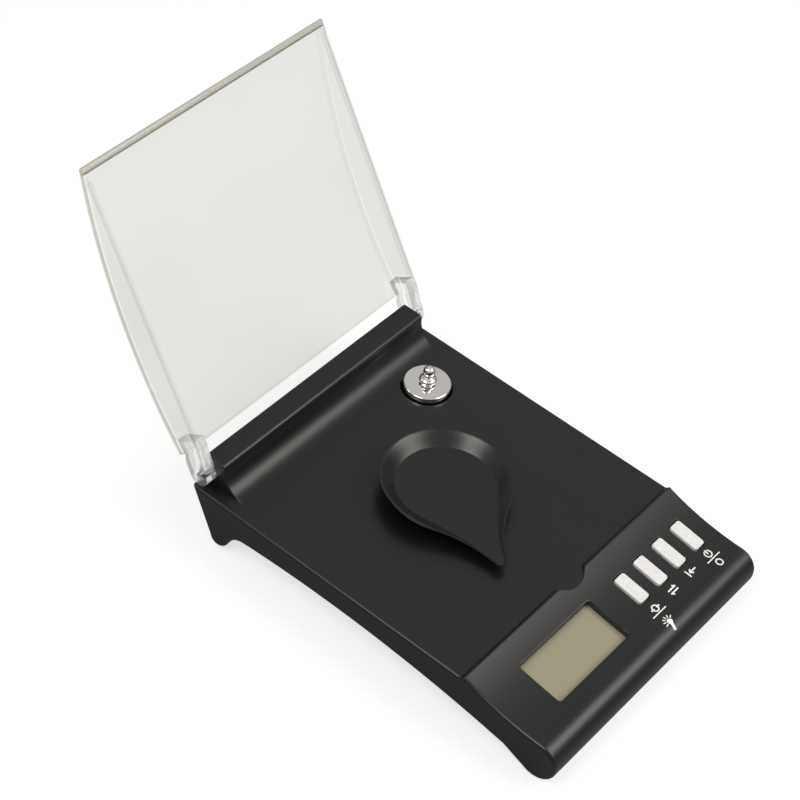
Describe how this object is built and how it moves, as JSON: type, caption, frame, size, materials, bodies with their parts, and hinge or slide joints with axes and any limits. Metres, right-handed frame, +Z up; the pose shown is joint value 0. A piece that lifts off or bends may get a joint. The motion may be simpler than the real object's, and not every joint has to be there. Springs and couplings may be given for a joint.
{
  "type": "pocket gram scale",
  "caption": "Low wedge-shaped electronic scale with a flip-up clear cover, a lift-off pouring pan, a display and push buttons, and a knobbed calibration weight in its own pocket.",
  "frame": {"origin": "on the bench, at the middle of the footprint with the cover open: 19.33 mm behind the middle of the case", "axes": "+X to the right seen from the front, +Y from the control panel to the hinge, +Z up"},
  "size_m": [0.08, 0.1458, 0.0861],
  "materials": {
    "case_black": "satin black moulded plastic",
    "clear_cover": "clear moulded plastic with a faint grey tint",
    "steel": "plain steel",
    "pan_black": "thin pressed pan with a satin black coat",
    "aluminium": "machined aluminium",
    "sealant": "white sealing compound",
    "lead_red": "enamelled or insulated wire",
    "board_green": "circuit board",
    "chip_black": "moulded electronic part",
    "display_glass": "unlit reflective display, warm beige",
    "display_light": "light guide behind the display",
    "display_frame": "white plastic frame",
    "display_connector": "striped elastomer connector",
    "plunger_red": "red plastic",
    "button_white": "off-white plastic",
    "battery_blue": "plain printed sleeve",
    "foot_rubber": "black rubber pad",
    "polished_nickel": "polished nickel plate"
  },
  "bodies": {
    "case": {"top_case": "case_black", "bottom_case": "case_black", "hinge_pin_left": "steel", "hinge_pin_right": "steel", "load_cell": "aluminium", "gauge_coating": "sealant", "load_cell_screws": "steel", "load_cell_wires": "lead_red", "main_board": "board_green", "controller_chip": "chip_black", "converter_chip": "chip_black", "crystal": "steel", "chip_resistors": "chip_black", "board_screws": "steel", "display_glass": "display_glass", "display_light": "display_light", "display_frame": "display_frame", "display_connector": "display_connector", "cal_switch": "chip_black", "unit_switch": "chip_black", "tare_switch": "chip_black", "power_switch": "chip_black", "battery_left": "battery_blue", "battery_right": "battery_blue", "battery_springs": "steel", "battery_tabs": "steel", "battery_leads": "lead_red", "foot_front_left": "foot_rubber", "foot_front_right": "foot_rubber", "foot_rear_left": "foot_rubber", "foot_rear_right": "foot_rubber", "case_screws": "steel"},
    "cover": {"cover": "clear_cover"},
    "load_stage": {"load_plate": "aluminium", "load_bracket": "steel", "stem_screw": "steel", "bracket_screws": "steel"},
    "pan": {"pan": "pan_black"},
    "weight": {"calibration_weight": "polished_nickel"},
    "battery_door": {"battery_door": "case_black"},
    "cal_key": {"cal_button": "button_white", "cal_plunger": "plunger_red"},
    "unit_key": {"unit_button": "button_white", "unit_plunger": "plunger_red"},
    "tare_key": {"tare_button": "button_white", "tare_plunger": "plunger_red"},
    "power_key": {"power_button": "button_white", "power_plunger": "plunger_red"}
  },
  "joints": [
    {"name": "cover_hinge", "type": "hinge", "parent": "case", "child": "cover", "pos_m": [0, 0.03277, 0.0186], "axis": [-1, 0, 0], "range_deg": [-122.9, 0]},
    {"name": "load_flex", "type": "slide", "parent": "case", "child": "load_stage", "axis": [0, 0, -1], "range_m": [0, 0.0003], "stiffness_N_per_m": 1600, "springref_m": -0.0001, "deforming": ["load_cell"]},
    {"name": "pan_lift", "type": "slide", "parent": "load_stage", "child": "pan", "axis": [0, 0, 1], "range_m": [0, 0.03]},
    {"name": "weight_lift", "type": "slide", "parent": "case", "child": "weight", "axis": [0, 0, 1], "range_m": [0, 0.02]},
    {"name": "battery_door_slide", "type": "slide", "parent": "case", "child": "battery_door", "axis": [-1, 0, 0], "range_m": [0, 0.024]},
    {"name": "cal_press", "type": "slide", "parent": "case", "child": "cal_key", "axis": [0, 0.1621, -0.9868], "range_m": [0, 0.0004], "stiffness_N_per_m": 400, "springref_m": -0.001},
    {"name": "unit_press", "type": "slide", "parent": "case", "child": "unit_key", "axis": [0, 0.1621, -0.9868], "range_m": [0, 0.0004], "stiffness_N_per_m": 400, "springref_m": -0.001},
    {"name": "tare_press", "type": "slide", "parent": "case", "child": "tare_key", "axis": [0, 0.1621, -0.9868], "range_m": [0, 0.0004], "stiffness_N_per_m": 400, "springref_m": -0.001},
    {"name": "power_press", "type": "slide", "parent": "case", "child": "power_key", "axis": [0, 0.1621, -0.9868], "range_m": [0, 0.0004], "stiffness_N_per_m": 400, "springref_m": -0.001}
  ]
}
